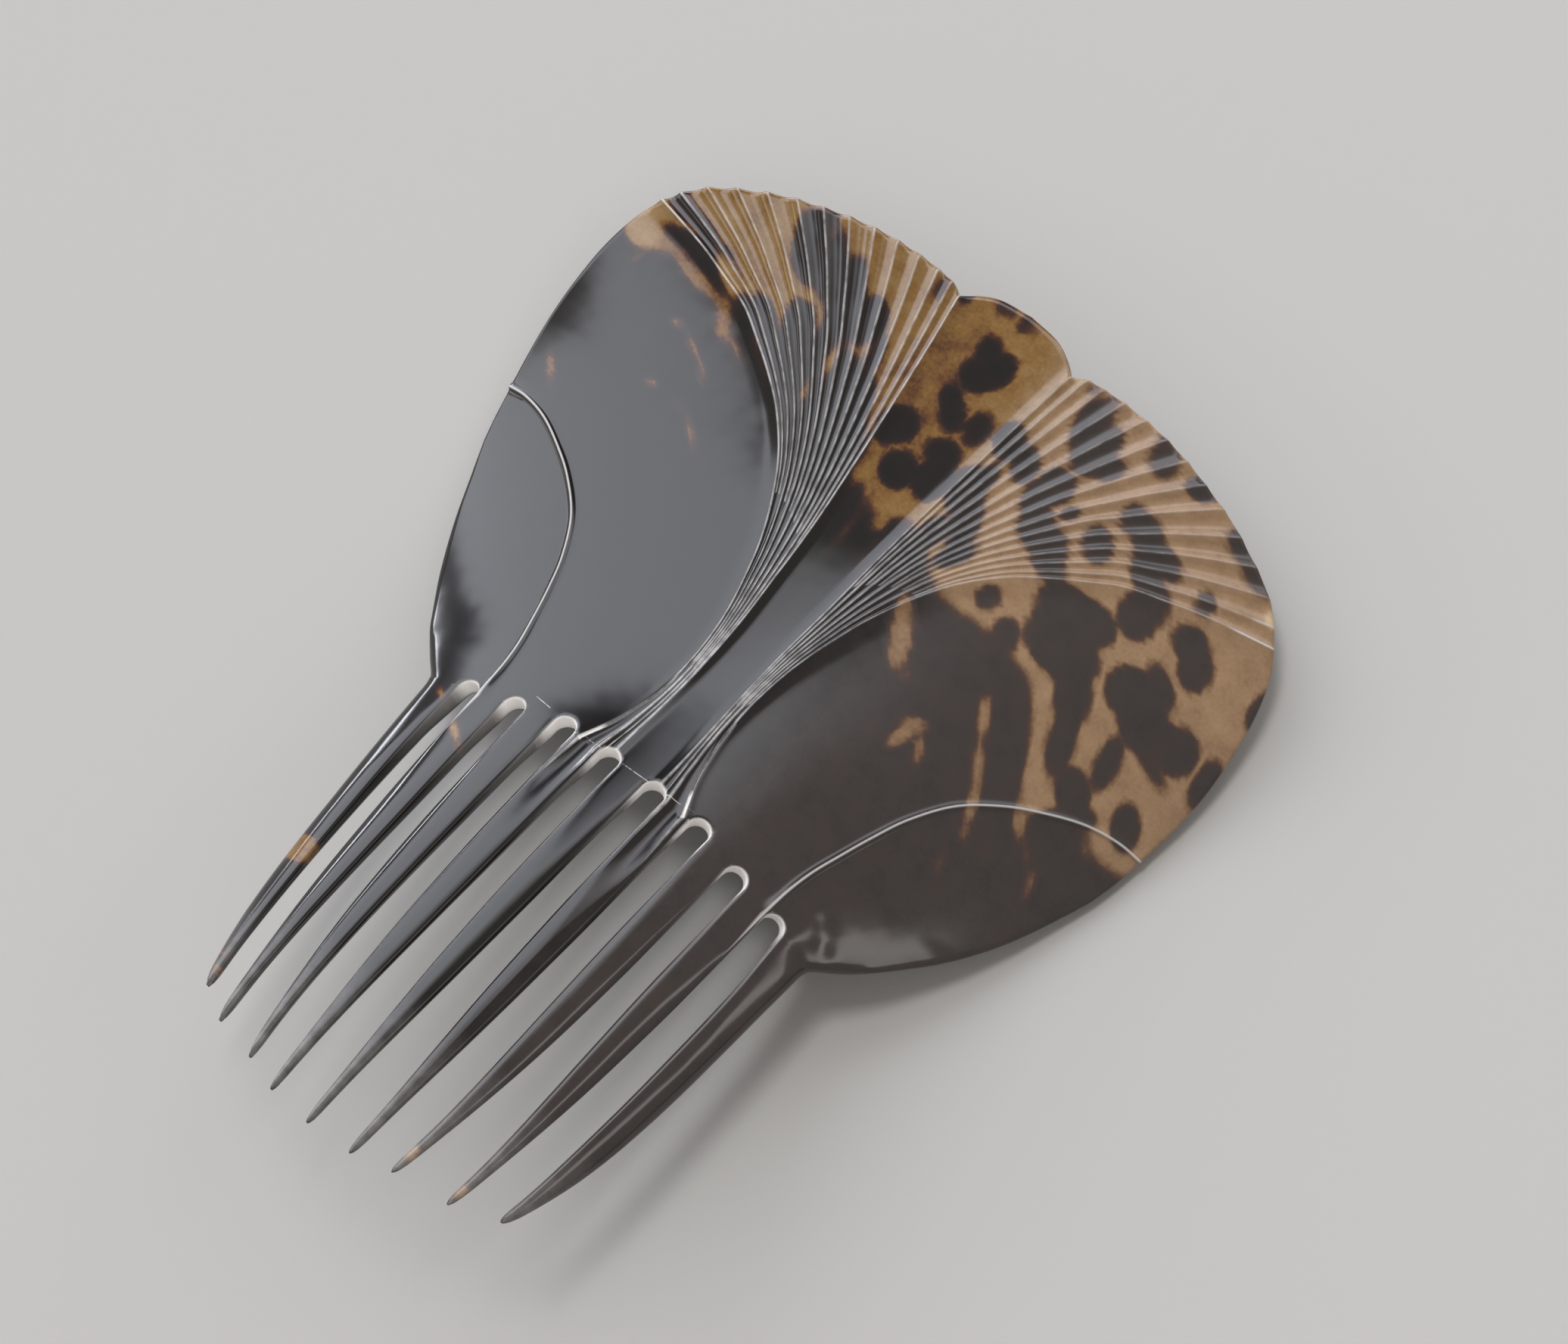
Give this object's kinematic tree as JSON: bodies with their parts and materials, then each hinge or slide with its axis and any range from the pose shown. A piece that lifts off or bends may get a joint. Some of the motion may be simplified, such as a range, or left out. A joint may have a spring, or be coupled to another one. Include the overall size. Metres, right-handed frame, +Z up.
{
  "type": "hair comb",
  "caption": "Mantilla comb with a broad arched leaf-shaped head, fluted fan and long tapering teeth, for holding up hair or a veil.",
  "frame": {"origin": "on the surface the comb lies on, at the middle of its bounding box seen from above", "axes": "+Z up, out of the convex front; +Y from the teeth to the head; +X across the comb"},
  "size_m": [0.1172, 0.147, 0.0386],
  "materials": {
    "shell": "polished, mottled dark brown and amber"
  },
  "bodies": {
    "root": {"comb": "shell"}
  },
  "joints": []
}
